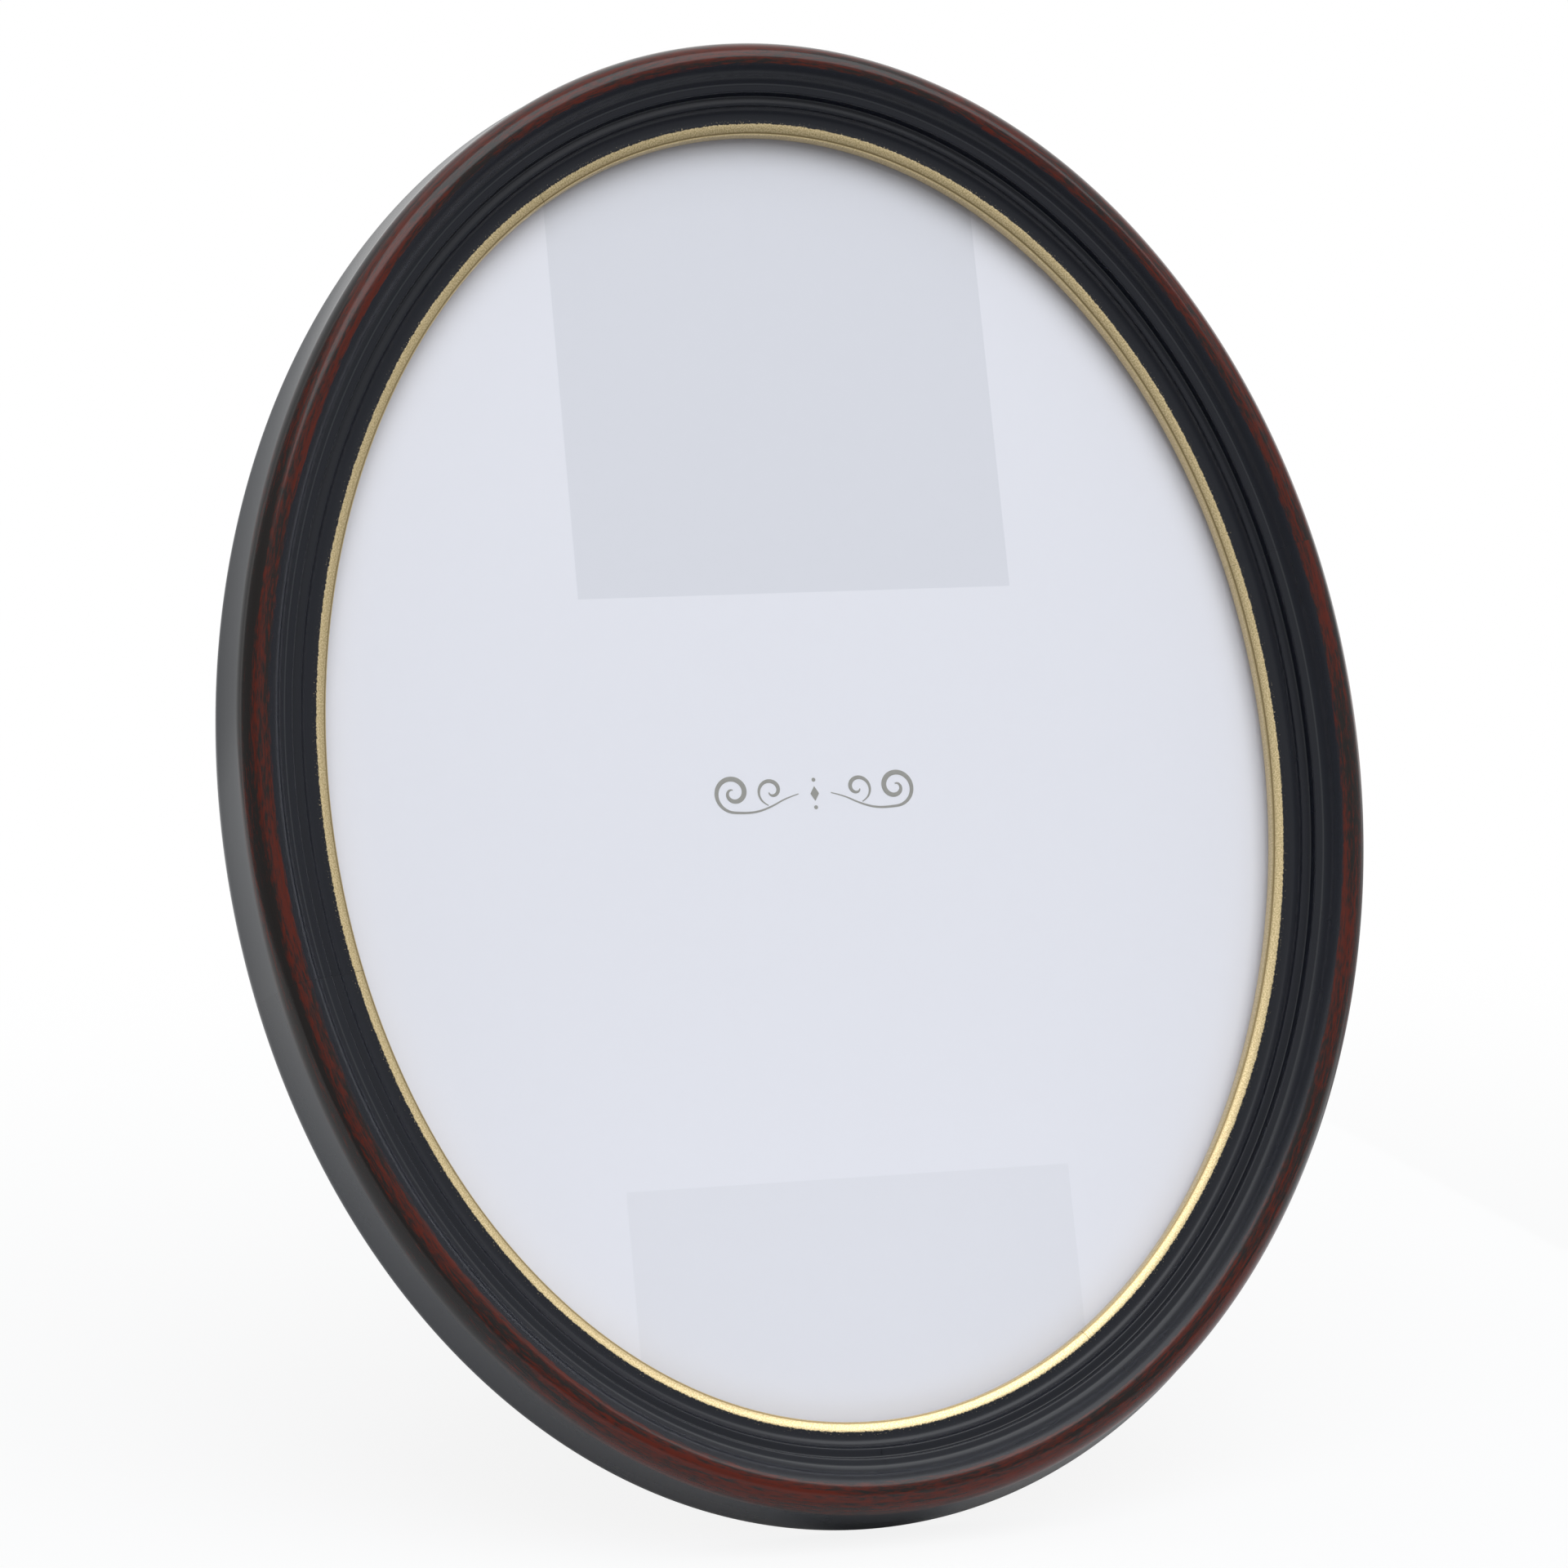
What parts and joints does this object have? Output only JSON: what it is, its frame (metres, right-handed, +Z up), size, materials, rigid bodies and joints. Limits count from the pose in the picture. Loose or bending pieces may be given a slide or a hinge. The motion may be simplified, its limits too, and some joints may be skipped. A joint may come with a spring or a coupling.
{
  "type": "oval picture frame",
  "caption": "Oval table picture frame: stepped black and mahogany wood moulding with a gilt lip, glazed, with a fold-out easel strut, turn buttons and a hanging ring.",
  "frame": {"origin": "on the table, below the middle of the box that holds the frame and its open strut", "axes": "+Z up, the picture faces -Y and leans back towards +Y, +X to the right of a viewer in front"},
  "size_m": [0.209, 0.1236, 0.2551],
  "materials": {
    "moulding": "satin black lacquer with a mahogany bead and a gilt lip",
    "dowel": "bare beech",
    "glass": "clear float glass",
    "sheet": "matt printed paper",
    "card": "grey board",
    "board": "hardboard faced with black paper",
    "plated_steel": "bright zinc plate"
  },
  "bodies": {
    "frame": {"moulding_top": "moulding", "moulding_left": "moulding", "moulding_bottom": "moulding", "moulding_right": "moulding", "joint_dowels": "dowel", "glass_pane": "glass", "print_sheet": "sheet", "backing_card": "card", "back_board": "board", "hinge_board_leaf": "plated_steel", "hinge_pin": "plated_steel", "board_leaf_rivets": "plated_steel", "hanger_strap": "plated_steel", "hanger_rivet": "plated_steel", "turn_button_screws": "plated_steel"},
    "strut": {"strut": "board", "hinge_strut_leaf": "plated_steel", "strut_leaf_rivets": "plated_steel"},
    "hanger_ring": {"hanger_ring": "plated_steel"},
    "turn_button_1": {"turn_button_1": "plated_steel"},
    "turn_button_2": {"turn_button_2": "plated_steel"},
    "turn_button_3": {"turn_button_3": "plated_steel"},
    "turn_button_4": {"turn_button_4": "plated_steel"}
  },
  "joints": [
    {"name": "strut_fold", "type": "hinge", "parent": "frame", "child": "strut", "pos_m": [0, 0.01282, 0.1633], "axis": [-1, 0, 0], "range_deg": [0, 36]},
    {"name": "hanger_ring_swing", "type": "hinge", "parent": "frame", "child": "hanger_ring", "pos_m": [0, 0.03375, 0.22166], "axis": [1, 0, 0], "range_deg": [-18, 158]},
    {"name": "turn_button_1_turn", "type": "hinge", "parent": "frame", "child": "turn_button_1", "pos_m": [0.06879, 0.02737, 0.20912], "axis": [0, -0.9397, 0.342], "continuous": true},
    {"name": "turn_button_2_turn", "type": "hinge", "parent": "frame", "child": "turn_button_2", "pos_m": [-0.06879, 0.02737, 0.20912], "axis": [0, -0.9397, 0.342], "continuous": true},
    {"name": "turn_button_3_turn", "type": "hinge", "parent": "frame", "child": "turn_button_3", "pos_m": [-0.06879, -0.03285, 0.04366], "axis": [0, -0.9397, 0.342], "continuous": true},
    {"name": "turn_button_4_turn", "type": "hinge", "parent": "frame", "child": "turn_button_4", "pos_m": [0.06879, -0.03285, 0.04366], "axis": [0, -0.9397, 0.342], "continuous": true}
  ]
}
